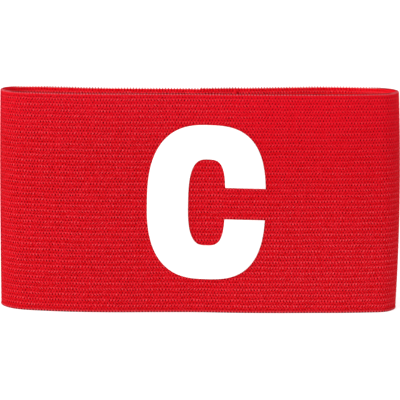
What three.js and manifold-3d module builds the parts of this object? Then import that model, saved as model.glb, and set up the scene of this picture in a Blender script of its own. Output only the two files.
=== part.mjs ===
// Captain's armband: wide elastic webbing sewn into a loop, with a block letter pressed onto its front.
// Millimetres, +Z up. The loop stands on its lower edge, and its front faces -Y.

import * as THREE from 'three';
import { mergeVertices } from 'three/addons/utils/BufferGeometryUtils.js';
import Module from 'manifold-3d';

const wasm = await Module();
wasm.setup();

// The webbing, and the flattened loop that it is sewn into
const webbingWidth = 70;
const webbingThickness = 1.2;
const loopWidth = 129;
const loopDepth = 26.5;

// How far the folds draw in towards the upper edge and the foot, and how far forward the right fold's foot
// stands of its upper edge
const leftPullTop = 0.35;
const leftPullFoot = 0.1;
const rightPullTop = 0.8;
const rightPullFoot = 0.9;
const rightFootStep = 3.2;
const rightFootPower = 8;

// The lap at the back, where one end of the webbing is sewn over the other
const lapLength = 12;
const lapEase = 5;
const lapClearance = 0.3;

// The letter, a film with the outline of a rounded block C
const letterWidth = 37.6;
const letterHeight = 49.4;
const letterStem = 12.9;
const letterBar = 10.9;
const letterMouth = 10.1;
const letterMouthDrop = 0.2;
const letterThickness = 0.5;
const letterClearance = 0.3;
const letterShift = 2.05;
const letterRise = 0.66;
const letterTilt = 0.9;
const counterShift = 0.15;

// How square the letter's curves are on the side of its spine and on the side of its mouth, where 2 is round
const bowlSquareness = { spine: 2.6, mouth: 2.9 };
const counterSquareness = { spine: 2.85, mouth: 3.5 };

// Fineness of the facets
const planPoints = 360;
const stationSpacing = 1.5;
const heightSteps = 6;
const bowlPoints = 56;
const counterPoints = 32;

// The loop seen from above, along the middle of the webbing's thickness, as shares of half its width and
// half its depth: from the lap to the left along the back, round the left fold, along the front, and back
// round the right fold.
const planTable = [
  { side: 0.000, back: 0.42 },
  { side: -0.155, back: 0.40 },
  { side: -0.310, back: 0.39 },
  { side: -0.465, back: 0.40 },
  { side: -0.610, back: 0.49 },
  { side: -0.740, back: 0.62 },
  { side: -0.865, back: 0.70 },
  { side: -0.950, back: 0.56 },
  { side: -1.000, back: 0.08 },
  { side: -0.970, back: -0.34 },
  { side: -0.905, back: -0.62 },
  { side: -0.780, back: -0.79 },
  { side: -0.625, back: -0.90 },
  { side: -0.440, back: -0.93 },
  { side: -0.220, back: -0.885 },
  { side: 0.000, back: -0.86 },
  { side: 0.190, back: -0.91 },
  { side: 0.375, back: -0.915 },
  { side: 0.560, back: -0.875 },
  { side: 0.720, back: -0.83 },
  { side: 0.850, back: -0.72 },
  { side: 0.945, back: -0.54 },
  { side: 1.000, back: 0.01 },
  { side: 0.975, back: 0.46 },
  { side: 0.915, back: 0.77 },
  { side: 0.800, back: 0.94 },
  { side: 0.655, back: 1.00 },
  { side: 0.500, back: 0.87 },
  { side: 0.330, back: 0.71 },
  { side: 0.160, back: 0.56 },
];

const halfThickness = webbingThickness / 2;

// The closed curve through the table's rows, fitted so that the loop measures its stated width and depth
function planCurve() {
  const corners = planTable.map(({ side, back }) => (
    new THREE.Vector3(side * loopWidth, back * loopDepth, 0)
  ));
  const points = new THREE.CatmullRomCurve3(corners, true).getSpacedPoints(planPoints).slice(0, planPoints);
  const box = new THREE.Box3().setFromPoints(points);
  const size = box.getSize(new THREE.Vector3());
  const middle = box.getCenter(new THREE.Vector3());
  const fitWidth = (loopWidth - webbingThickness) / size.x;
  const fitDepth = (loopDepth - webbingThickness) / size.y;
  const fitted = points.map(({ x, y }) => (
    new THREE.Vector3((x - middle.x) * fitWidth, (y - middle.y) * fitDepth, 0)
  ));
  const curve = new THREE.CatmullRomCurve3(fitted, true);
  curve.arcLengthDivisions = planPoints;
  return curve;
}

// How far a layer steps outwards at a distance from the outer end: the hidden end lies inside the loop
// before the distance reaches zero, and the outer end lies over it on the last stretch.
function layerStep(distance, perimeter) {
  const step = (webbingThickness + lapClearance) / 2;
  const lapStart = perimeter - lapLength;
  const inside = 1 - THREE.MathUtils.smoothstep(distance, 0, lapEase);
  const outside = THREE.MathUtils.smoothstep(distance, lapStart - lapEase, lapStart);
  return step * (outside - inside);
}

// The stations along the strip, from its hidden end round the loop to its outer end
function stripStations() {
  const plan = planCurve();
  const perimeter = plan.getLength();
  const count = Math.ceil((perimeter + lapLength) / stationSpacing);
  return Array.from({ length: count + 1 }, (_, index) => {
    const distance = (index / count) * (perimeter + lapLength) - lapLength;
    const share = THREE.MathUtils.euclideanModulo(distance / perimeter, 1);
    const along = plan.getTangentAt(share);
    const outward = new THREE.Vector3(along.y, -along.x, 0);
    const centre = plan.getPointAt(share).addScaledVector(outward, layerStep(distance, perimeter));
    return { centre, outward };
  });
}

// The folds draw in above and below the middle of the height, and the right one leans back as it rises
function leanFolds(geometry) {
  const place = geometry.getAttribute('position');
  for (let index = 0; index < place.count; index += 1) {
    const side = place.getX(index) / (loopWidth / 2);
    const level = (2 * place.getZ(index)) / webbingWidth - 1;
    const leftPull = level > 0 ? leftPullTop : leftPullFoot;
    const rightPull = level > 0 ? rightPullTop : rightPullFoot;
    const pull = side > 0 ? rightPull : leftPull;
    const lean = (rightFootStep * Math.max(side, 0) ** rightFootPower * (1 - level)) / 2;
    place.setX(index, place.getX(index) - pull * side * level ** 2);
    place.setY(index, place.getY(index) - lean);
  }
  return geometry;
}

// A stretch of wall between two distances from the middle of the webbing, extruded up
function wallGeometry(stretch, inner, outer) {
  const edge = (offset) => stretch.map(({ centre, outward }) => (
    centre.clone().addScaledVector(outward, offset)
  ));
  const outline = new THREE.Shape([...edge(outer), ...edge(inner).reverse()]);
  const wall = new THREE.ExtrudeGeometry(outline, {
    depth: webbingWidth,
    steps: heightSteps,
    bevelEnabled: false,
  });
  return leanFolds(wall);
}

// A rounded block outline, between an ellipse and a rectangle
function blockShape(width, height, squareness, points) {
  const corners = Array.from({ length: points }, (_, index) => {
    const angle = (2 * Math.PI * (index + 0.5)) / points;
    const power = 2 / (Math.cos(angle) < 0 ? squareness.spine : squareness.mouth);
    const reach = (value) => Math.sign(value) * Math.abs(value) ** power;
    return new THREE.Vector2((reach(Math.cos(angle)) * width) / 2, (reach(Math.sin(angle)) * height) / 2);
  });
  return new THREE.Shape(corners);
}

// The letter's outlines are cut straight back through the front wall, tilted and placed on it
function placeOnFront(geometry) {
  return geometry
    .rotateX(Math.PI / 2)
    .rotateY(THREE.MathUtils.degToRad(letterTilt))
    .translate(letterShift, 0, webbingWidth / 2 + letterRise);
}

function blockPrism(width, height, squareness, points, shift = 0) {
  const shape = blockShape(width, height, squareness, points);
  const prism = new THREE.ExtrudeGeometry(shape, { depth: loopDepth, bevelEnabled: false });
  return placeOnFront(prism.translate(shift, 0, 0));
}

function mouthBlock() {
  const block = new THREE.BoxGeometry(letterWidth, letterMouth, loopDepth);
  return placeOnFront(block.translate(letterWidth / 2, -letterMouthDrop, loopDepth / 2));
}

function toSolid(geometry) {
  const bare = geometry.clone();
  bare.deleteAttribute('normal');
  bare.deleteAttribute('uv');
  const merged = mergeVertices(bare);
  return new wasm.Manifold(new wasm.Mesh({
    numProp: 3,
    vertProperties: new Float32Array(merged.getAttribute('position').array),
    triVerts: new Uint32Array(merged.getIndex().array),
  }));
}

function toGeometry(solid) {
  const mesh = solid.getMesh();
  const geometry = new THREE.BufferGeometry();
  geometry.setAttribute('position', new THREE.BufferAttribute(new Float32Array(mesh.vertProperties), 3));
  geometry.setIndex(new THREE.BufferAttribute(new Uint32Array(mesh.triVerts), 1));
  geometry.computeVertexNormals();
  return geometry;
}

// A film that lies on the front wall, cut to the letter's outline
function letterGeometry(stations) {
  const front = stations.filter(({ centre }) => centre.y < 0);
  const near = halfThickness + letterClearance;
  const film = toSolid(wallGeometry(front, near, near + letterThickness));
  const bowl = toSolid(blockPrism(letterWidth, letterHeight, bowlSquareness, bowlPoints));
  const counterWidth = letterWidth - 2 * letterStem;
  const counterHeight = letterHeight - 2 * letterBar;
  const counter = toSolid(
    blockPrism(counterWidth, counterHeight, counterSquareness, counterPoints, counterShift),
  );
  return toGeometry(film.intersect(bowl).subtract(counter).subtract(toSolid(mouthBlock())));
}

function finish(color, roughness) {
  return new THREE.MeshStandardMaterial({ color, roughness, metalness: 0 });
}

function piece(name, geometry, material) {
  const mesh = new THREE.Mesh(geometry, material);
  mesh.name = name;
  return mesh;
}

const stations = stripStations();
const armband = new THREE.Group();
armband.add(
  piece('elastic_band', wallGeometry(stations, -halfThickness, halfThickness), finish(0xd41824, 0.85)),
  piece('front_letter', letterGeometry(stations), finish(0xf8f8f6, 0.6)),
);

export default armband;
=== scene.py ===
"""Captain's armband: red woven elastic webbing sewn into a loop, with a white letter film on its front.

The loop stands on its lower edge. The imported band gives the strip's path: every piece here is made flat, in
strip coordinates, and then wrapped on to that path. Strip coordinates are the distance along the webbing
from its hidden end, the height above the lower edge, and the distance out from the middle of the webbing's
thickness. Everything is in metres, +Z up, and the front faces -Y.
"""

import math

import bmesh
import bpy
import numpy as np
from mathutils import Matrix, Vector


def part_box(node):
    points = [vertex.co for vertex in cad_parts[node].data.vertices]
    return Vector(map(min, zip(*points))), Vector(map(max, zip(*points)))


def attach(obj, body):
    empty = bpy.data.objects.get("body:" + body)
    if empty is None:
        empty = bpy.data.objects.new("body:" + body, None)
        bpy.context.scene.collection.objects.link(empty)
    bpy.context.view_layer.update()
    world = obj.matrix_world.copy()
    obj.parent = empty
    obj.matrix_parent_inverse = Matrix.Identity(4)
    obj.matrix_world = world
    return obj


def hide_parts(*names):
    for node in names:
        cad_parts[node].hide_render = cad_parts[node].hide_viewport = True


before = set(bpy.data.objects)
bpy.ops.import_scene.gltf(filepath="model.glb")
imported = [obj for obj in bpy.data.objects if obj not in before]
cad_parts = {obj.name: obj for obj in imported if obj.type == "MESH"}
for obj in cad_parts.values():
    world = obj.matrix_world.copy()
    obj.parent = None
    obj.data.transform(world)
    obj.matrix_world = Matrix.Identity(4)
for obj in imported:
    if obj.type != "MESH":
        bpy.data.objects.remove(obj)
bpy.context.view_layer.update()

MM = 0.001

# Weave: pits lie in a staggered lattice, and two rows of them make one rib. The rib offsets say how far
# into a rib the webbing's foot lies.
PIT_PITCH = 0.945 * MM
RIB_PITCH = 1.785 * MM
PIT_ROWS_PER_RIB = 2
COLUMNS_PER_PIT = 2
ROWS_PER_RIB = 4
STRONG_PIT_DEPTH = 0.26 * MM
WEAK_PIT_DEPTH = 0.19 * MM
PIT_FLANK = (-0.2, 1.0)
RIB_RISE = 0.04 * MM
CREST_STAND = 0.02 * MM
BACKING_ROWS = 5
BACKING_INSET = 0.008 * MM
RIB_OFFSET = -0.15
RIB_OFFSET_INSIDE = 0.58

# The folds, as a share of half the loop's width, and how far the pits close there
FOLD_START = 0.90
FOLD_CLOSING = 0.25

# Where the front wall turns into the back wall, as a share of the back wall's farthest place
WALL_TURN = (-0.5, 0.5)

# How unevenly the threads lie. The spare rows of random draws cover the backing, so that its rows can change
# without changing the weave.
WANDER = 0.11 * MM
WANDER_WAVES = ((0.031, 0.047, 0.0), (0.0137, -0.022, 1.7), (0.0071, 0.0113, 4.1))
WANDER_START_ALONG = 0.6
WANDER_START_UP = 2.9
ROW_SHIFT = 0.10 * MM
ROW_SHIFT_WAVES = (0.0093, 0.0041)
ROW_SHIFT_STRENGTH = (0.4, 1.0)
THREAD_JITTER = 0.03 * MM
PIT_SPREAD = 0.30
PIT_EVENNESS = (0.25, 1.2)
SPARE_DRAW_ROWS = 9
WEAVE_SEED = 11

# Selvage: a plain border, a rounded edge and the weft loops that turn round it. A pair of values holds
# for the front wall and for the back wall.
OUTER_BORDER = 1.0 * MM
INNER_BORDER = 0.4 * MM
BORDER_INSIDE = 0.4
UPPER_ROUND = 0.3 * MM
FOOT_ROUND = 0.12 * MM
FOOT_DROP = 0.08 * MM
LOOP_RADIUS = 0.38 * MM
LOOP_YARN_RADIUS = 0.28 * MM
UPPER_LOOP_WIDTH = (1.25, 0.64)
FOOT_LOOP_WIDTH = 0.8
FOOT_LOOP_REACH = 1.12
FOOT_LOOP_POWER = 0.2
LOOP_LEG = 0.4 * MM
LOOP_TUCK = 0.1 * MM
LOOP_SLANT = (0.12 * MM, 0)
LOOP_JITTER = 0.03 * MM
LOOP_STAND = (0.40 * MM, 0.57 * MM)
LOOP_ABOVE_WEBBING = (0.32 * MM, 0.54 * MM)
LOOP_FOLD_FADE = 4
LOOP_STEPS = 8
LOOP_SIDES = 8
LOOP_SEED = 31

# Cut ends, sealed up to where the weave opens, and lap seam
SEALED_END = (0.54 * MM, 1.26 * MM)
LAP_LENGTH = 12 * MM
SEAM_INSETS = (2.6 * MM, 8.9 * MM)
SEAM_MARGIN = 1.3 * MM
STITCH_LENGTH = 2.5 * MM
STITCH_PITCH = 2.9 * MM
STITCH_STAND = 0.02 * MM
STITCH_ARCH = 0.16 * MM
STITCH_SLANT = 0.18 * MM
STITCH_BLUNTNESS = 0.8
THREAD_RADIUS = 0.2 * MM
THREAD_EVENNESS = (0.85, 1.1)
STITCH_RINGS = 9
STITCH_SIDES = 8
STITCH_SEED = 47

# Letter film, with the mouth's ends measured from the letter's middle
LETTER_WIDTH = 37.6 * MM
LETTER_HEIGHT = 49.4 * MM
LETTER_STEM = 12.9 * MM
LETTER_BAR = 10.9 * MM
MOUTH_TOP = 4.85 * MM
MOUTH_FOOT = -5.25 * MM
LETTER_SHIFT = 2.05 * MM
LETTER_RISE = 0.66 * MM
LETTER_TILT = math.radians(0.9)
COUNTER_SHIFT = 0.15 * MM
BOWL_SQUARENESS = {"spine": 2.6, "mouth": 2.9}
COUNTER_SQUARENESS = {"spine": 2.85, "mouth": 3.5}
FILM_BACK = 0.62 * MM
FILM_FRONT = 1.10 * MM
FILM_EDGE = 0.18 * MM
FILM_END = 0.5
FILM_RIB_PRINT = 0.012 * MM
LETTER_COLUMNS = 240
LETTER_ROWS = 28
LETTER_BACK_ROWS = 3
OUTLINE_POINTS = 2000

# Camera, at the photograph's distance and angle
CAMERA_ELEVATION = math.radians(8.68)
CAMERA_DISTANCE = 0.670
CAMERA_ROLL = math.radians(0.34)
CAMERA_TARGET = Vector((0.0001, -0.00385, 0.03512))
CAMERA_LENS = 187.6
CAMERA_SENSOR = 36

# Studio
SKY_STRENGTH = 0.7
KEY_DIRECTION = (-0.54, -0.50, 0.64)
KEY_SOFTNESS = math.radians(70)
KEY_STRENGTH = 2.0
FLOOR_HALF_WIDTH = 4
FLOOR_WHITE = 0.62
FLOOR_ROUGHNESS = 0.9
FLOOR_GLOW = 0.6

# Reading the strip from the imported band
DENSE_SPACING = 0.25 * MM
DENSE_LEVELS = 29
LEVEL_SLACK = 0.01 * MM
SEAM_SLACK = 0.001 * MM

band_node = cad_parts["elastic_band"]
band_low, band_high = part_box("elastic_band")
WEB_HEIGHT = band_high.z - band_low.z


# The strip's path

def foot_ring(shell):
    """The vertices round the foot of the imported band, in order."""

    def at_foot(item):
        return all(abs(vertex.co.z - band_low.z) < LEVEL_SLACK for vertex in item.verts)

    neighbours = {}
    for edge in shell.edges:
        if at_foot(edge) and sum(at_foot(face) for face in edge.link_faces) == 1:
            for vertex in edge.verts:
                neighbours.setdefault(vertex, []).append(edge.other_vert(vertex))
    start = next(iter(neighbours))
    ring = [start, neighbours[start][0]]
    while ring[-1] is not start:
        ahead, behind = neighbours[ring[-1]]
        ring.append(behind if ahead is ring[-2] else ahead)
    return ring[:-1]


def split_at_corners(ring):
    """The ring's two long runs, which are the foot of the webbing's outer and inner face."""
    places = np.array([vertex.co.xy for vertex in ring])
    ahead = np.roll(places, -1, axis=0) - places
    behind = places - np.roll(places, 1, axis=0)
    ahead /= np.linalg.norm(ahead, axis=1)[:, None]
    behind /= np.linalg.norm(behind, axis=1)[:, None]
    corners = sorted(np.argsort((ahead * behind).sum(axis=1))[:4])
    ring = ring[corners[0]:] + ring[:corners[0]]
    cuts = [corner - corners[0] for corner in corners] + [len(ring)]
    runs = [(ring + ring[:1])[first:last + 1] for first, last in zip(cuts, cuts[1:])]
    return sorted(runs, key=len)[-2:]


def climb(vertex):
    """The vertices straight above one at the foot, from level to level."""
    column = [vertex]
    while True:
        here = column[-1]
        above = [edge.other_vert(here) for edge in here.link_edges]
        above = [other for other in above if other.co.z > here.co.z + LEVEL_SLACK]
        if not above:
            return [tuple(rung.co) for rung in column]
        column.append(min(above, key=lambda other: (other.co.xy - here.co.xy).length))


def spline_weights(count, places):
    """Catmull-Rom weights of `count` evenly spaced knots at places from 0 to count - 1."""
    weights = np.zeros((len(places), count))
    first = np.clip(np.floor(places).astype(int), 0, count - 2)
    t = places - first
    basis = [
        (-t + 2 * t**2 - t**3) / 2,
        (2 - 5 * t**2 + 3 * t**3) / 2,
        (t + 4 * t**2 - 3 * t**3) / 2,
        (-t**2 + t**3) / 2,
    ]
    rows = np.arange(len(places))
    for offset, share in zip((-1, 0, 1, 2), basis):
        knot = first + offset
        inside = np.clip(knot, 0, count - 1)
        mirror = np.clip(2 * inside - knot, 0, count - 1)
        beyond = knot != inside
        np.add.at(weights, (rows, inside), np.where(beyond, 2 * share, share))
        np.add.at(weights, (rows, mirror), np.where(beyond, -share, 0))
    return weights


def read_strip():
    """The middle surface of the webbing, sampled densely along its length and height."""
    shell = bmesh.new()
    shell.from_mesh(band_node.data)
    bmesh.ops.remove_doubles(shell, verts=shell.verts, dist=LEVEL_SLACK)
    runs = [np.array([climb(vertex) for vertex in run]) for run in split_at_corners(foot_ring(shell))]
    shell.free()
    runs = [run if run[0, 0, 0] > run[-1, 0, 0] else run[::-1] for run in runs]
    inner, outer = sorted(runs, key=lambda run: np.linalg.norm(np.diff(run[:, 0], axis=0), axis=1).sum())
    middle = (inner + outer) / 2
    length = np.linalg.norm(np.diff(middle[:, 0], axis=0), axis=1).sum()
    stations, levels = middle.shape[:2]
    dense_stations = int(length / DENSE_SPACING)
    along = spline_weights(stations, np.linspace(0, stations - 1, dense_stations))
    upward = spline_weights(levels, np.linspace(0, levels - 1, DENSE_LEVELS))
    surface = np.einsum("as,slc,ul->auc", along, middle, upward)
    tangent = np.gradient(surface, axis=0)
    outward = np.stack([tangent[..., 1], -tangent[..., 0], np.zeros(surface.shape[:2])], axis=-1)
    outward /= np.linalg.norm(outward, axis=-1, keepdims=True)
    half = np.linalg.norm(outer - inner, axis=-1).mean() / 2
    return {"length": length, "surface": surface, "outward": outward, "half": half}


strip = read_strip()
STRIP_LENGTH = strip["length"]
HALF_WEB = strip["half"]


def wrap(places):
    """Strip coordinates, one row each, as places on the loop."""
    surface, outward = strip["surface"], strip["outward"]
    along = np.clip(places[:, 0] / STRIP_LENGTH, 0, 1) * (surface.shape[0] - 1)
    upward = places[:, 1] / WEB_HEIGHT * (surface.shape[1] - 1)
    a = np.clip(along.astype(int), 0, surface.shape[0] - 2)
    b = np.clip(upward.astype(int), 0, surface.shape[1] - 2)
    s, t = (along - a)[:, None], (upward - b)[:, None]

    def between(table):
        low = table[a, b] * (1 - s) + table[a + 1, b] * s
        high = table[a, b + 1] * (1 - s) + table[a + 1, b + 1] * s
        return low * (1 - t) + high * t

    return between(surface) + between(outward) * places[:, 2:3]


def smooth_ramp(value, low, high):
    t = np.clip((value - low) / (high - low), 0, 1)
    return t * t * (3 - 2 * t)


def strip_line(level):
    """The middle of the webbing at one level of its height, and the distance along it of each place."""
    line = strip["surface"][:, level]
    return np.arange(len(line)) * STRIP_LENGTH / (len(line) - 1), line


def distance_at_front(x):
    """The distance along the strip at which the front wall passes each x."""
    distances, line = strip_line(DENSE_LEVELS // 2)
    front = line[:, 1] < 0
    return np.interp(x, line[front, 0], distances[front])


def fold_share(along):
    """How far a place along the strip is into the left or the right fold, from 0 to 1."""
    distances, line = strip_line(DENSE_LEVELS // 2)
    side = np.interp(along, distances, np.abs(line[:, 0])) / np.abs(line[:, 0]).max()
    return smooth_ramp(side, FOLD_START, 1)


def front_to_back(along, pair):
    """Eases from a pair's first value on the front wall to its second one on the back wall."""
    distances, line = strip_line(-1)
    backwards = np.interp(along, distances, line[:, 1]) / line[:, 1].max()
    front, back = pair
    return front + (back - front) * smooth_ramp(backwards, *WALL_TURN)


def upper_crest(along):
    """The height of the loops' crests on the upper edge."""
    return WEB_HEIGHT + front_to_back(along, LOOP_STAND)


# Shared ways of making pieces

def finish_piece(name, mesh, places, pattern, material):
    """Wraps a flat mesh on to the loop, with the pattern coordinates that its material reads."""
    mesh.vertices.foreach_set("co", wrap(places).ravel())
    threads = mesh.attributes.new("threads", "FLOAT_VECTOR", "POINT")
    threads.data.foreach_set("vector", pattern.ravel())
    shell = bmesh.new()
    shell.from_mesh(mesh)
    rim = [vertex for vertex in shell.verts if vertex.is_boundary]
    bmesh.ops.remove_doubles(shell, verts=rim, dist=SEAM_SLACK)
    bmesh.ops.holes_fill(shell, edges=[edge for edge in shell.edges if edge.is_boundary], sides=0)
    bmesh.ops.recalc_face_normals(shell, faces=shell.faces)
    shell.to_mesh(mesh)
    shell.free()
    mesh.shade_smooth()
    mesh.materials.clear()
    mesh.materials.append(material)
    piece = bpy.data.objects.new(name, mesh)
    bpy.context.scene.collection.objects.link(piece)
    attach(piece, "root")
    return piece


def rolled_grid(name, columns, rows, place, material):
    """A grid rolled up across its rows into a closed, flat tube.

    `place` takes columns and rows, and gives strip coordinates and pattern coordinates. The first and the
    last row lie in the same place."""
    grid = bmesh.new()
    bmesh.ops.create_grid(grid, x_segments=columns, y_segments=rows, size=1)
    mesh = bpy.data.meshes.new(name)
    grid.to_mesh(mesh)
    grid.free()
    flat = np.empty(len(mesh.vertices) * 3)
    mesh.vertices.foreach_get("co", flat)
    share = (flat.reshape(-1, 3)[:, :2] + 1) / 2
    cells = np.rint(share * (columns, rows)).astype(int)
    places, pattern = place(cells[:, 0], cells[:, 1])
    return finish_piece(name, mesh, places, pattern, material)


def repeated(name, template, spots, place, material):
    """Copies of a small template, one at each spot, joined in one mesh.

    `place` takes the template's vertices and a spot for each, and gives strip and pattern coordinates."""
    single = bpy.data.meshes.new(name)
    template.to_mesh(single)
    template.free()
    many = bmesh.new()
    for _ in spots:
        many.from_mesh(single)
    mesh = bpy.data.meshes.new(name)
    many.to_mesh(mesh)
    many.free()
    shape = np.array([vertex.co for vertex in single.vertices])
    shapes = np.tile(shape, (len(spots), 1))
    each = np.repeat(np.array(spots), len(shape), axis=0)
    places, pattern = place(shapes, each)
    bpy.data.meshes.remove(single)
    return finish_piece(name, mesh, places, pattern, material)


# Webbing

def wander(along, height, start):
    """How far the weave strays from its lattice in slow waves."""
    waves = [
        np.sin(2 * np.pi * (along / wave_along + height / wave_up) + phase + start)
        for wave_along, wave_up, phase in WANDER_WAVES
    ]
    return WANDER * sum(waves) / len(waves)


def row_shifts(along, pit_row, random):
    """How far each row of pits has slipped sideways, which slants the threads between the rows."""
    count = int(pit_row.max()) + 2
    shift = np.zeros(len(along))
    for wave in ROW_SHIFT_WAVES:
        phase = random.uniform(0, 2 * np.pi, count)
        strength = random.uniform(*ROW_SHIFT_STRENGTH, count)
        for row, weight in ((np.floor(pit_row), 1 - pit_row % 1), (np.ceil(pit_row), pit_row % 1)):
            row = row.astype(int)
            shift += weight * strength[row] * np.sin(2 * np.pi * along / wave + phase[row])
    return ROW_SHIFT * shift / len(ROW_SHIFT_WAVES)


def webbing_face(name, side, material):
    """One woven face of the webbing: side is 1 for the outer face and -1 for the inner one."""
    columns = COLUMNS_PER_PIT * round(STRIP_LENGTH / PIT_PITCH)
    weave_rows = ROWS_PER_RIB * round(WEB_HEIGHT / RIB_PITCH)
    rows = weave_rows + BACKING_ROWS + 2
    random = np.random.default_rng(WEAVE_SEED + side)
    rib_offset = RIB_OFFSET if side > 0 else RIB_OFFSET_INSIDE

    def place(column, row):
        row = np.where(row == rows, 0, row)
        woven = row <= weave_rows
        share = np.where(woven, row / weave_rows, np.clip((rows - 1 - row) / BACKING_ROWS, 0, 1))
        along = column * STRIP_LENGTH / columns
        top = upper_crest(along) - front_to_back(along, LOOP_ABOVE_WEBBING)
        height = FOOT_DROP + (top - FOOT_DROP) * share
        pits = along / PIT_PITCH
        ribs = height / RIB_PITCH + rib_offset
        from_edge = np.minimum(height - FOOT_DROP, top - height)
        from_end = np.minimum(along, STRIP_LENGTH - along)
        border = OUTER_BORDER if side > 0 else INNER_BORDER
        open_weave = smooth_ramp(from_edge, border * BORDER_INSIDE, border)
        open_weave *= smooth_ramp(from_end, *SEALED_END)
        open_weave *= 1 - FOLD_CLOSING * fold_share(along)
        each = row * (columns + 1) + column
        draws = (columns + 1) * (weave_rows + SPARE_DRAW_ROWS)
        evenness = np.clip(random.normal(1 - PIT_SPREAD / 2, PIT_SPREAD, draws), *PIT_EVENNESS)[each]
        jitter = random.normal(0, THREAD_JITTER, (2, draws))[:, each]
        lattice = np.cos(2 * np.pi * pits) * np.cos(2 * np.pi * ribs)
        strong = (1 + np.cos(2 * np.pi * ribs)) / 2
        deepest = WEAK_PIT_DEPTH + (STRONG_PIT_DEPTH - WEAK_PIT_DEPTH) * strong
        depth = deepest * smooth_ramp(lattice, *PIT_FLANK) * open_weave * evenness
        relief = CREST_STAND + RIB_RISE * strong - depth
        edge_round = np.where(share > 0.5, UPPER_ROUND, FOOT_ROUND)
        bend = 1 - np.clip(from_edge / edge_round, 0, 1)
        rounding = edge_round * (1 - np.sqrt(1 - bend**2))
        out = np.where(woven, HALF_WEB + relief - rounding, BACKING_INSET)
        loose = woven * open_weave
        shift = row_shifts(along, row * PIT_ROWS_PER_RIB / ROWS_PER_RIB, random)
        moved_along = along + loose * (wander(along, height, WANDER_START_ALONG) + shift + jitter[0])
        moved_up = height + loose * (wander(along, height, WANDER_START_UP) + jitter[1])
        places = np.stack([moved_along, moved_up, side * out], axis=1)
        return places, np.stack([pits, ribs, open_weave * evenness], axis=1)

    return rolled_grid(name, columns, rows, place, material)


def selvage_loops(name, edge, material):
    """The weft yarn turning round one edge of the webbing: edge is 1 for the upper one, -1 for the lower."""
    loop = bmesh.new()
    start = Matrix.Translation((0, -LOOP_RADIUS, 0))
    bmesh.ops.create_circle(loop, segments=LOOP_SIDES, radius=LOOP_YARN_RADIUS, matrix=start)
    bmesh.ops.spin(
        loop, geom=loop.verts[:] + loop.edges[:], cent=(0, 0, 0), axis=(-1, 0, 0),
        angle=math.pi, steps=LOOP_STEPS, use_merge=False, use_duplicate=False,
    )
    count = round(STRIP_LENGTH / PIT_PITCH)
    random = np.random.default_rng(LOOP_SEED + edge)
    spots = [
        ((index + 0.5) * STRIP_LENGTH / count, abs(random.normal(0, LOOP_JITTER)), random.uniform())
        for index in range(count)
    ]
    reach = LOOP_RADIUS + LOOP_YARN_RADIUS

    def place(shape, spot):
        middle = reach + spot[:, 1]
        centre = upper_crest(spot[:, 0]) - middle if edge > 0 else middle
        legs = np.abs(shape[:, 2]) < LEVEL_SLACK
        width = front_to_back(spot[:, 0], UPPER_LOOP_WIDTH) if edge > 0 else FOOT_LOOP_WIDTH
        slant = front_to_back(spot[:, 0], LOOP_SLANT)
        along = spot[:, 0] + width * shape[:, 0] + slant * shape[:, 1] / LOOP_RADIUS / 2
        height = centre + edge * (shape[:, 2] - legs * LOOP_LEG)
        out = shape[:, 1]
        if edge < 0:
            out = FOOT_LOOP_REACH * reach * np.sign(out) * np.abs(out / reach) ** FOOT_LOOP_POWER
        out = out - legs * LOOP_TUCK * np.sign(shape[:, 1])
        places = np.stack([along, height, out], axis=1)
        turned = np.arctan2(shape[:, 2], shape[:, 1]) / np.pi
        across = shape[:, 0] / LOOP_YARN_RADIUS + LOOP_FOLD_FADE * fold_share(spot[:, 0])
        return places, np.stack([spot[:, 2], turned, across], axis=1)

    return repeated(name, loop, spots, place, material)


# Letter film

def block_outline(width, height, squareness, shift=0.0):
    """One side of the letter's stroke, from the upper end of the mouth round to the lower one."""
    half_width, half_height = width / 2, height / 2
    start = math.asin((MOUTH_TOP / half_height) ** (squareness["mouth"] / 2))
    stop = 2 * math.pi - math.asin((-MOUTH_FOOT / half_height) ** (squareness["mouth"] / 2))
    angle = np.linspace(start, stop, OUTLINE_POINTS)
    power = 2 / np.where(np.cos(angle) < 0, squareness["spine"], squareness["mouth"])
    x = half_width * np.sign(np.cos(angle)) * np.abs(np.cos(angle)) ** power + shift
    z = half_height * np.sign(np.sin(angle)) * np.abs(np.sin(angle)) ** power
    steps = np.hypot(np.diff(x), np.diff(z))
    travelled = np.concatenate([[0], np.cumsum(steps)])
    return travelled / travelled[-1], x, z


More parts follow.
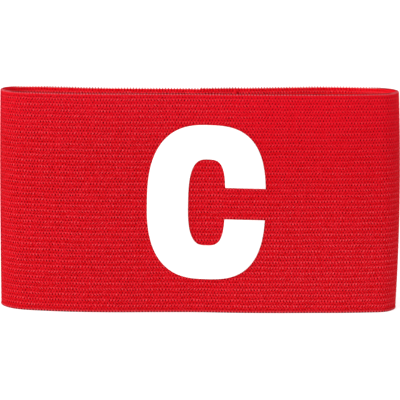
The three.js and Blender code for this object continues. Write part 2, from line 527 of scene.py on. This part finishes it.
def letter_film(name, material):
    bowl = block_outline(LETTER_WIDTH, LETTER_HEIGHT, BOWL_SQUARENESS)
    counter_width = LETTER_WIDTH - 2 * LETTER_STEM
    counter_height = LETTER_HEIGHT - 2 * LETTER_BAR
    counter = block_outline(counter_width, counter_height, COUNTER_SQUARENESS, COUNTER_SHIFT)
    rows = LETTER_ROWS + LETTER_BACK_ROWS + 2

    def place(column, row):
        row = np.where(row == rows, 0, row)
        front = row <= LETTER_ROWS
        even = np.where(front, row / LETTER_ROWS, np.clip((rows - 1 - row) / LETTER_BACK_ROWS, 0, 1))
        share = np.where(front, (1 - np.cos(np.pi * even)) / 2, even)
        travel = column / LETTER_COLUMNS
        inner_x, inner_z = (np.interp(travel, counter[0], line) for line in counter[1:])
        outer_x, outer_z = (np.interp(travel, bowl[0], line) for line in bowl[1:])
        x = inner_x + (outer_x - inner_x) * share
        z = inner_z + (outer_z - inner_z) * share
        stroke = np.hypot(outer_x - inner_x, outer_z - inner_z)
        from_edge = stroke * np.minimum(share, 1 - share)
        bend = 1 - np.clip(from_edge / FILM_EDGE, 0, 1)
        ends = (column == 0) | (column == LETTER_COLUMNS)
        soft = np.where(ends, FILM_END, (1 + np.sqrt(1 - bend**2)) / 2)
        out = np.where(front, FILM_BACK + (FILM_FRONT - FILM_BACK) * soft, FILM_BACK)
        cos, sin = math.cos(LETTER_TILT), math.sin(LETTER_TILT)
        across = LETTER_SHIFT + x * cos + z * sin
        height = WEB_HEIGHT / 2 + LETTER_RISE + z * cos - x * sin
        along = distance_at_front(across)
        pits, ribs = along / PIT_PITCH, height / RIB_PITCH + RIB_OFFSET
        out = out + front * FILM_RIB_PRINT * np.cos(2 * np.pi * ribs) * (from_edge > FILM_EDGE)
        return np.stack([along, height, out], axis=1), np.stack([pits, ribs, 0 * ribs], axis=1)

    return rolled_grid(name, LETTER_COLUMNS, rows, place, material)


# Lap seam

def seam_stitches(name, side, material):
    """Two rows of lockstitch through the lap: side is 1 for the outside of the loop, -1 for its inside."""
    stitch = bmesh.new()
    bmesh.ops.create_uvsphere(stitch, u_segments=STITCH_SIDES, v_segments=STITCH_RINGS, radius=1)
    count = int((WEB_HEIGHT - 2 * SEAM_MARGIN) / STITCH_PITCH)
    margin = (WEB_HEIGHT - count * STITCH_PITCH) / 2
    random = np.random.default_rng(STITCH_SEED + side)
    spots = []
    for inset in SEAM_INSETS:
        for index in range(count):
            along = STRIP_LENGTH - inset if side > 0 else LAP_LENGTH - inset
            height = margin + (index + 0.5) * STITCH_PITCH
            spots.append((along, height, random.uniform(*THREAD_EVENNESS)))

    def place(shape, spot):
        run = np.sign(shape[:, 2]) * np.abs(shape[:, 2]) ** STITCH_BLUNTNESS
        thick = THREAD_RADIUS * spot[:, 2]
        arch = STITCH_ARCH * (1 - run**2)
        along = spot[:, 0] + thick * shape[:, 0] + STITCH_SLANT * run / 2
        height = spot[:, 1] + run * STITCH_LENGTH / 2
        out = HALF_WEB + STITCH_STAND - STITCH_ARCH / 2 + arch + thick * shape[:, 1]
        places = np.stack([along, height, side * out], axis=1)
        turned = np.arctan2(shape[:, 1], shape[:, 0]) / (2 * np.pi)
        return places, np.stack([turned, run * STITCH_LENGTH / MM, spot[:, 2]], axis=1)

    return repeated(name, stitch, spots, place, material)


# Materials

def linear(red, green, blue):
    """An sRGB colour, 0 to 255, as the linear colour that a shader takes."""

    def channel(value):
        value /= 255
        return value / 12.92 if value <= 0.04045 else ((value + 0.055) / 1.055) ** 2.4

    return (channel(red), channel(green), channel(blue), 1.0)


# Webbing yarn
# Painted shade: dark reds for the shade in the weave's pits, darkest in the strong rows
STRONG_PIT_SHADE_RED = linear(58, 0, 2)
WEAK_PIT_SHADE_RED = linear(92, 0, 3)
# Painted shade: a deeper red below each rib's crest
VALLEY_SHADE_RED = linear(186, 0, 4)
YARN_RED = linear(193, 6, 21)
BRIGHT_RED = linear(203, 12, 30)
# Painted light: the lighter red towards the upper edge
UPPER_LIT_RED = linear(212, 10, 30)
# Painted highlight on the upper side of the rib crests, beside the pits
CREST_HIGHLIGHT_RED = linear(217, 72, 80)
FIBRE_RED = linear(217, 40, 53)
# Painted shade: dark red along the foot for the floor's contact shadow, and along the upper edge for the
# shade behind the loops
EDGE_SHADE_RED = linear(70, 0, 8)
# Painted light: the inner face's reds are brightened, to stand for light reaching the inside of the loop
INSIDE_LIGHT_GAIN = 1.65

# Selvage yarn
# Painted highlight: pink on the loops' shoulders, where light catches them
LOOP_HIGHLIGHT_PINK = linear(218, 90, 99)
LOOP_LEG_RED = linear(176, 8, 22)
# Painted shade on the loops' crests, outside and inside
LOOP_CREST_SHADE_RED = linear(118, 38, 42)
# Painted light: a brighter red for the loops' inner half, which sits in shade
LOOP_INNER_LIT_RED = linear(228, 18, 38)
LOOP_INNER_CREST_SHADE_RED = linear(150, 10, 24)

# Sewing thread
# Painted shade in the grooves between the plies
PLY_GROOVE_SHADE_RED = linear(140, 2, 14)
PLY_RED = linear(216, 18, 34)
PLY_FIBRE_RED = linear(238, 60, 70)

# Film
FILM_WHITE = (0.93, 0.93, 0.93, 1)
FILM_COOL_WHITE = (0.90, 0.905, 0.91, 1)

# Noises on the pattern coordinates: the stretch says how densely one varies along each coordinate
SLANT_NOISE = {"stretch": (0.10, 0.35, 0), "detail": 1.0}
PATCH_NOISE = {"stretch": (0.3, 0.6, 0), "detail": 2.0}
SPREAD_NOISE = {"stretch": (1.1, 2.2, 0), "detail": 1.0, "offset": (7, 3, 0)}
MOTTLE_NOISE = {"stretch": (1.6, 3.2, 0), "detail": 1.0, "offset": (2, 9, 0)}
FIBRE_NOISE = {"stretch": (5.0, 26.0, 1.0), "detail": 3.0, "roughness": 0.6}
LOOP_FIBRE_NOISE = {"stretch": (9.0, 5.0, 2.5), "detail": 2.0}
PLY_FIBRE_NOISE = {"stretch": (10.0, 3.0, 1.0), "detail": 2.0}
FILM_GRAIN_NOISE = {"stretch": (3.0, 6.0, 0), "detail": 3.0, "roughness": 0.6}
FILM_CLOUD_NOISE = {"stretch": (0.12, 0.2, 0), "detail": 2.0}

# Ramps: where each one starts and ends, and what it gives there where that isn't 0 and 1
WHOLE_WAVE = (-1.0, 1.0)
NOISE_RAMP = (0.3, 0.7)
SLANT_STRENGTH = 1.6
PIT_RAMP = (0.25, 0.85)
CREST_SHIFT = 0.13
CREST_RAMP = (0.0, 0.9)
CREST_ROW_RAMP = (0.0, 0.8)
CREST_SHARE_RAMP = (0, 1, 0.25, 1.0)
VALLEY_SHADE_RAMP = (-0.9, 0.9)
PATCH_SHARE = 0.4
MOTTLE_RAMP = (0.4, 0.75, 0.0, 0.55)
FIBRE_RAMP = (0.3, 0.75, 0.0, 0.16)
FOOT_SHADE_RAMP = (0.12, 0.40, 0.95, 0.0)
UPPER_SHADE_RAMP = (-0.02, 0.1, 0.7, 0.0)
UPPER_SHADE_RAMP_INSIDE = (-0.02, 0.1, 0.2, 0.0)
YARN_ROUGHNESS_RAMP = (0.2, 0.8, 0.6, 0.85)

# Painted light: the yarn is brighter near the upper edge. Past some pits, counted from the hidden end, it is
# also plainer in the upper half, with less mottle, fewer painted crest highlights and more of the lighter
# red. Levels are shares of the webbing's height.
BRIGHT_LEVELS = (0.72, 1.0, 0.0, 0.4)
PLAIN_PITS = (150, 185)
PLAIN_LEVELS = (0.1, 0.9, -0.25, 0.6)
PLAIN_SHARE = 0.45

# Ramps of the selvage loops, which carry painted shade on the crest and a pink painted highlight on the
# shoulder.
# The crest, the inner ramp and the highlight starts are measured from a loop's crest at 0 to the end of a leg
# at a half, and the inner half from its outer leg at 0 to its inner leg at 1.
LOOP_CHANCE_RAMP = (0, 1, 0.0, 0.3)
LOOP_FIBRE_RAMP = (0.35, 0.7, 0.0, 0.3)
LOOP_CREST = (0.18, 0.34)
LOOP_FOLD_RAMP = (0.8, 3.0, 1.0, 0.3)
LOOP_INNER_RAMP = (0.1, 0.3)
LOOP_INNER_HALF = (0.52, 0.6)
LOOP_ROUGHNESS_RAMP = (0.2, 0.8, 0.6, 0.8)
UPPER_CREST_SHADE = 0.95
UPPER_HIGHLIGHT_START = 0.36
LOWER_CREST_SHADE = 0.0
LOWER_HIGHLIGHT_START = 0.30

# Plies of the sewing thread: how many there are round it, and how often they turn in a millimetre
PLY_COUNT = 3.0
PLY_TWIST = 1.6
PLY_RAMP = (-1.0, 0.2)
PLY_FIBRE_RAMP = (0.4, 0.8, 0.0, 0.35)
PLY_ROUGHNESS_RAMP = (0.2, 0.8, 0.5, 0.7)

# Bumps: the distance and the strength
PIT_BUMP = (0.12 * MM, 0.8)
FIBRE_BUMP = (0.05 * MM, 0.6)
LOOP_BUMP = (0.04 * MM, 0.6)
PLY_BUMP = (0.05 * MM, 0.8)
FILM_PRINT_BUMP = (0.03 * MM, 0.5)
FILM_GRAIN_BUMP = (0.01 * MM, 0.5)

# Gloss
YARN_SPECULAR = 0.01
YARN_SHEEN = 0.005
YARN_SHEEN_ROUGHNESS = 0.45
YARN_GLOSS_TINT = linear(255, 90, 90)
FILM_SPECULAR = 0.4
FILM_ROUGHNESS_RAMP = (0.3, 0.7, 0.42, 0.56)


class Finish:
    """Short names for building a material's nodes."""

    def __init__(self, name):
        self.material = bpy.data.materials.new(name)
        self.material.use_nodes = True
        self.tree = self.material.node_tree
        self.shader = self.tree.nodes["Principled BSDF"]

    def add(self, kind, **settings):
        node = self.tree.nodes.new(kind)
        for key, value in settings.items():
            setattr(node, key, value)
        return node

    def link(self, value, socket):
        if hasattr(value, "node"):
            self.tree.links.new(value, socket)
        else:
            socket.default_value = value

    def shade(self, name, value):
        self.link(value, self.shader.inputs[name])

    def math(self, operation, *values):
        node = self.add("ShaderNodeMath", operation=operation)
        for value, socket in zip(values, node.inputs):
            self.link(value, socket)
        return node.outputs[0]

    def times(self, first, second):
        return self.math("MULTIPLY", first, second)

    def wave(self, cycles, shape="COSINE"):
        return self.math(shape, self.times(cycles, 2 * math.pi))

    def ramp(self, value, low, high, to_low=0.0, to_high=1.0):
        node = self.add("ShaderNodeMapRange", interpolation_type="SMOOTHSTEP")
        for item, socket in zip((value, low, high, to_low, to_high), node.inputs):
            self.link(item, socket)
        return node.outputs[0]

    def blend(self, share, under, over):
        node = self.add("ShaderNodeMix", data_type="RGBA")
        self.link(share, node.inputs[0])
        self.link(under, node.inputs[6])
        self.link(over, node.inputs[7])
        return node.outputs[2]

    def threads(self):
        """The pattern coordinates, whole and split."""
        pattern = self.add("ShaderNodeAttribute", attribute_name="threads")
        split = self.add("ShaderNodeSeparateXYZ")
        self.link(pattern.outputs["Vector"], split.inputs[0])
        return pattern.outputs["Vector"], *split.outputs

    def noise(self, vector, stretch, detail, roughness=0.5, offset=(0, 0, 0)):
        stretched = self.add("ShaderNodeMapping")
        self.link(stretch, stretched.inputs["Scale"])
        self.link(offset, stretched.inputs["Location"])
        self.link(vector, stretched.inputs["Vector"])
        node = self.add("ShaderNodeTexNoise")
        values = {"Vector": stretched.outputs[0], "Scale": 1.0, "Detail": detail, "Roughness": roughness}
        for name, value in values.items():
            self.link(value, node.inputs[name])
        return node.outputs["Fac"]

    def bump(self, height, distance, strength, under=None):
        node = self.add("ShaderNodeBump")
        self.link(strength, node.inputs["Strength"])
        self.link(distance, node.inputs["Distance"])
        self.link(height, node.inputs["Height"])
        if under is not None:
            self.link(under, node.inputs["Normal"])
        return node.outputs[0]


def yarn_gloss(finish):
    finish.shade("Specular IOR Level", YARN_SPECULAR)
    finish.shade("Specular Tint", YARN_GLOSS_TINT)
    finish.shade("Sheen Weight", YARN_SHEEN)
    finish.shade("Sheen Roughness", YARN_SHEEN_ROUGHNESS)
    finish.shade("Sheen Tint", YARN_GLOSS_TINT)


def webbing_finish(name, side):
    """Red polyester yarn with fine fibres: painted shade in the pits and painted highlights on the crests
    beside them.
    """
    finish = Finish(name)
    # The inner face is a brighter copy of the same yarn: painted light
    light_gain = 1 if side > 0 else INSIDE_LIGHT_GAIN
    rib_offset = RIB_OFFSET if side > 0 else RIB_OFFSET_INSIDE
    upper_shade = UPPER_SHADE_RAMP if side > 0 else UPPER_SHADE_RAMP_INSIDE

    def with_light_gain(colour):
        return (*(min(channel * light_gain, 1) for channel in colour[:3]), 1)

    vector, pits, ribs, open_weave = finish.threads()
    slow = finish.noise(vector, **SLANT_NOISE)
    lean = finish.times(finish.math("SUBTRACT", slow, 0.5), SLANT_STRENGTH)
    slant = finish.times(lean, finish.wave(ribs, "SINE"))
    across = finish.wave(finish.math("ADD", pits, slant))
    rows = finish.wave(ribs)
    strong = finish.ramp(rows, *WHOLE_WAVE)
    lattice = finish.times(across, rows)
    pit = finish.times(finish.ramp(lattice, *PIT_RAMP), open_weave)
    lifted = finish.wave(finish.math("SUBTRACT", ribs, CREST_SHIFT))
    crest = finish.times(finish.times(across, -1.0), lifted)
    crest = finish.times(finish.ramp(crest, *CREST_RAMP), finish.ramp(lifted, *CREST_ROW_RAMP))
    patch = finish.ramp(finish.noise(vector, **PATCH_NOISE), *NOISE_RAMP)
    spread = finish.ramp(finish.noise(vector, **SPREAD_NOISE), *NOISE_RAMP)
    fibre = finish.noise(vector, **FIBRE_NOISE)
    mottle = finish.ramp(finish.noise(vector, **MOTTLE_NOISE), *MOTTLE_RAMP)
    # Painted highlight on the crests beside the pits, in patches set by the spread noise
    crest_highlight = finish.times(finish.times(crest, open_weave), finish.ramp(spread, *CREST_SHARE_RAMP))
    # The base red goes from painted shade below each rib's crest to the yarn red above it
    red = finish.blend(finish.ramp(lifted, *VALLEY_SHADE_RAMP), with_light_gain(VALLEY_SHADE_RED), with_light_gain(YARN_RED))
    red = finish.blend(finish.times(patch, PATCH_SHARE), red, with_light_gain(BRIGHT_RED))
    if side > 0:
        level = finish.times(ribs, RIB_PITCH / WEB_HEIGHT)
        plain = finish.times(finish.ramp(pits, *PLAIN_PITS), finish.ramp(level, *PLAIN_LEVELS))
        uneven = finish.math("SUBTRACT", 1, plain)
        mottle = finish.times(mottle, uneven)
        crest_highlight = finish.times(crest_highlight, uneven)
        # Painted light towards the upper edge
        red = finish.blend(finish.ramp(level, *BRIGHT_LEVELS), red, UPPER_LIT_RED)
        red = finish.blend(finish.times(plain, PLAIN_SHARE), red, UPPER_LIT_RED)
    red = finish.blend(mottle, red, with_light_gain(FIBRE_RED))
    # Painted shade in the pits
    red = finish.blend(pit, red, finish.blend(strong, WEAK_PIT_SHADE_RED, STRONG_PIT_SHADE_RED))
    red = finish.blend(crest_highlight, red, with_light_gain(CREST_HIGHLIGHT_RED))
    red = finish.blend(finish.ramp(fibre, *FIBRE_RAMP), red, with_light_gain(FIBRE_RED))
    above_foot = finish.math("SUBTRACT", ribs, rib_offset)
    below_top = finish.math("SUBTRACT", WEB_HEIGHT / RIB_PITCH + rib_offset, ribs)
    # Painted shade along the foot and along the upper edge
    red = finish.blend(finish.ramp(above_foot, *FOOT_SHADE_RAMP), red, EDGE_SHADE_RED)
    red = finish.blend(finish.ramp(below_top, *upper_shade), red, EDGE_SHADE_RED)
    finish.shade("Base Color", red)
    finish.shade("Roughness", finish.ramp(fibre, *YARN_ROUGHNESS_RAMP))
    coarse = finish.bump(finish.times(pit, -1.0), *PIT_BUMP)
    finish.shade("Normal", finish.bump(fibre, *FIBRE_BUMP, coarse))
    yarn_gloss(finish)
    return finish.material


def loop_finish(name, crest_shade, highlight_start):
    """The weft yarn at the selvage: red legs, a pink painted highlight on the shoulder, and painted shade on
    the crest.
    """
    finish = Finish(name)
    vector, chance, turned, across = finish.threads()
    fibre = finish.noise(vector, **LOOP_FIBRE_NOISE)
    upright = finish.math("ABSOLUTE", finish.math("SUBTRACT", turned, 0.5))
    red = finish.blend(finish.ramp(chance, *LOOP_CHANCE_RAMP), LOOP_HIGHLIGHT_PINK, YARN_RED)
    red = finish.blend(finish.ramp(fibre, *LOOP_FIBRE_RAMP), red, YARN_RED)
    red = finish.blend(finish.ramp(upright, highlight_start, 0.5), red, LOOP_LEG_RED)
    # Painted shade on the crest, less of it at the folds
    crest = finish.ramp(upright, *LOOP_CREST, crest_shade, 0.0)
    crest = finish.times(crest, finish.ramp(across, *LOOP_FOLD_RAMP))
    red = finish.blend(crest, red, LOOP_CREST_SHADE_RED)
    # The inner half: painted shade on the crest and a brighter painted-light red elsewhere
    inside = finish.blend(finish.ramp(upright, *LOOP_INNER_RAMP), LOOP_INNER_CREST_SHADE_RED, LOOP_INNER_LIT_RED)
    inner_half = finish.ramp(finish.math("ABSOLUTE", turned), *LOOP_INNER_HALF)
    red = finish.blend(inner_half, red, inside)
    finish.shade("Base Color", red)
    finish.shade("Roughness", finish.ramp(fibre, *LOOP_ROUGHNESS_RAMP))
    finish.shade("Normal", finish.bump(fibre, *LOOP_BUMP))
    yarn_gloss(finish)
    return finish.material


def film_finish():
    """Matte white heat-transfer film, which takes a faint print of the weave under it."""
    finish = Finish("white_film")
    vector, pits, ribs, _ = finish.threads()
    lattice = finish.times(finish.wave(pits), finish.wave(ribs))
    grain = finish.noise(vector, **FILM_GRAIN_NOISE)
    cloud = finish.noise(vector, **FILM_CLOUD_NOISE)
    white = finish.blend(finish.ramp(cloud, *NOISE_RAMP), FILM_WHITE, FILM_COOL_WHITE)
    finish.shade("Base Color", white)
    finish.shade("Roughness", finish.ramp(grain, *FILM_ROUGHNESS_RAMP))
    print_through = finish.bump(finish.times(lattice, -1.0), *FILM_PRINT_BUMP)
    finish.shade("Normal", finish.bump(grain, *FILM_GRAIN_BUMP, print_through))
    finish.shade("Specular IOR Level", FILM_SPECULAR)
    return finish.material


def thread_finish():
    """Three-ply sewing thread: the plies show as slanting grooves, darkened with painted shade."""
    finish = Finish("sewing_thread")
    vector, turned, run, _ = finish.threads()
    turns = finish.math("ADD", finish.times(turned, PLY_COUNT), finish.times(run, PLY_TWIST))
    plies = finish.wave(turns)
    fibre = finish.noise(vector, **PLY_FIBRE_NOISE)
    red = finish.blend(finish.ramp(plies, *PLY_RAMP), PLY_GROOVE_SHADE_RED, PLY_RED)
    red = finish.blend(finish.ramp(fibre, *PLY_FIBRE_RAMP), red, PLY_FIBRE_RED)
    finish.shade("Base Color", red)
    finish.shade("Roughness", finish.ramp(fibre, *PLY_ROUGHNESS_RAMP))
    finish.shade("Normal", finish.bump(plies, *PLY_BUMP))
    yarn_gloss(finish)
    return finish.material


def floor_finish():
    finish = Finish("floor_white")
    finish.shade("Base Color", (FLOOR_WHITE, FLOOR_WHITE, FLOOR_WHITE, 1))
    finish.shade("Roughness", FLOOR_ROUGHNESS)
    finish.shade("Emission Color", (1, 1, 1, 1))
    finish.shade("Emission Strength", FLOOR_GLOW)
    return finish.material


# The armband

outer_face = webbing_face("webbing_outer_face", 1, webbing_finish("red_webbing", 1))
inner_face = webbing_face("webbing_inner_face", -1, webbing_finish("red_webbing_inside", -1))
upper_yarn = loop_finish("upper_selvage_yarn", UPPER_CREST_SHADE, UPPER_HIGHLIGHT_START)
lower_yarn = loop_finish("lower_selvage_yarn", LOWER_CREST_SHADE, LOWER_HIGHLIGHT_START)
upper_loops = selvage_loops("selvage_loops_upper", 1, upper_yarn)
lower_loops = selvage_loops("selvage_loops_lower", -1, lower_yarn)
sewing_thread = thread_finish()
outer_stitches = seam_stitches("lap_stitches_outside", 1, sewing_thread)
inner_stitches = seam_stitches("lap_stitches_inside", -1, sewing_thread)
film = letter_film("letter_film", film_finish())

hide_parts("elastic_band")
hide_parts("front_letter")


# Camera, floor and light

def set_camera():
    data = bpy.data.cameras.new("camera")
    data.lens = CAMERA_LENS
    data.sensor_width = CAMERA_SENSOR
    data.clip_start = 0.01
    camera = bpy.data.objects.new("camera", data)
    bpy.context.scene.collection.objects.link(camera)
    back = Vector((0, -math.cos(CAMERA_ELEVATION), math.sin(CAMERA_ELEVATION)))
    turn = back.to_track_quat("Z", "Y").to_matrix() @ Matrix.Rotation(CAMERA_ROLL, 3, "Z")
    camera.matrix_world = Matrix.Translation(CAMERA_TARGET + back * CAMERA_DISTANCE) @ turn.to_4x4()
    bpy.context.scene.camera = camera


def soft_light(name, direction, softness, strength):
    data = bpy.data.lights.new(name, "SUN")
    data.angle = softness
    data.energy = strength
    light = bpy.data.objects.new(name, data)
    bpy.context.scene.collection.objects.link(light)
    light.matrix_world = Vector(direction).to_track_quat("Z", "Y").to_matrix().to_4x4()


def set_studio():
    scene = bpy.context.scene
    scene.view_settings.view_transform = "Standard"
    scene.view_settings.look = "None"
    world = bpy.data.worlds.new("studio")
    world.use_nodes = True
    sky = world.node_tree.nodes["Background"]
    sky.inputs["Color"].default_value = (1, 1, 1, 1)
    sky.inputs["Strength"].default_value = SKY_STRENGTH
    scene.world = world
    ground = bmesh.new()
    bmesh.ops.create_grid(ground, x_segments=1, y_segments=1, size=FLOOR_HALF_WIDTH)
    mesh = bpy.data.meshes.new("floor")
    ground.to_mesh(mesh)
    ground.free()
    mesh.materials.append(floor_finish())
    floor = bpy.data.objects.new("floor", mesh)
    scene.collection.objects.link(floor)
    soft_light("key", KEY_DIRECTION, KEY_SOFTNESS, KEY_STRENGTH)


set_camera()
set_studio()
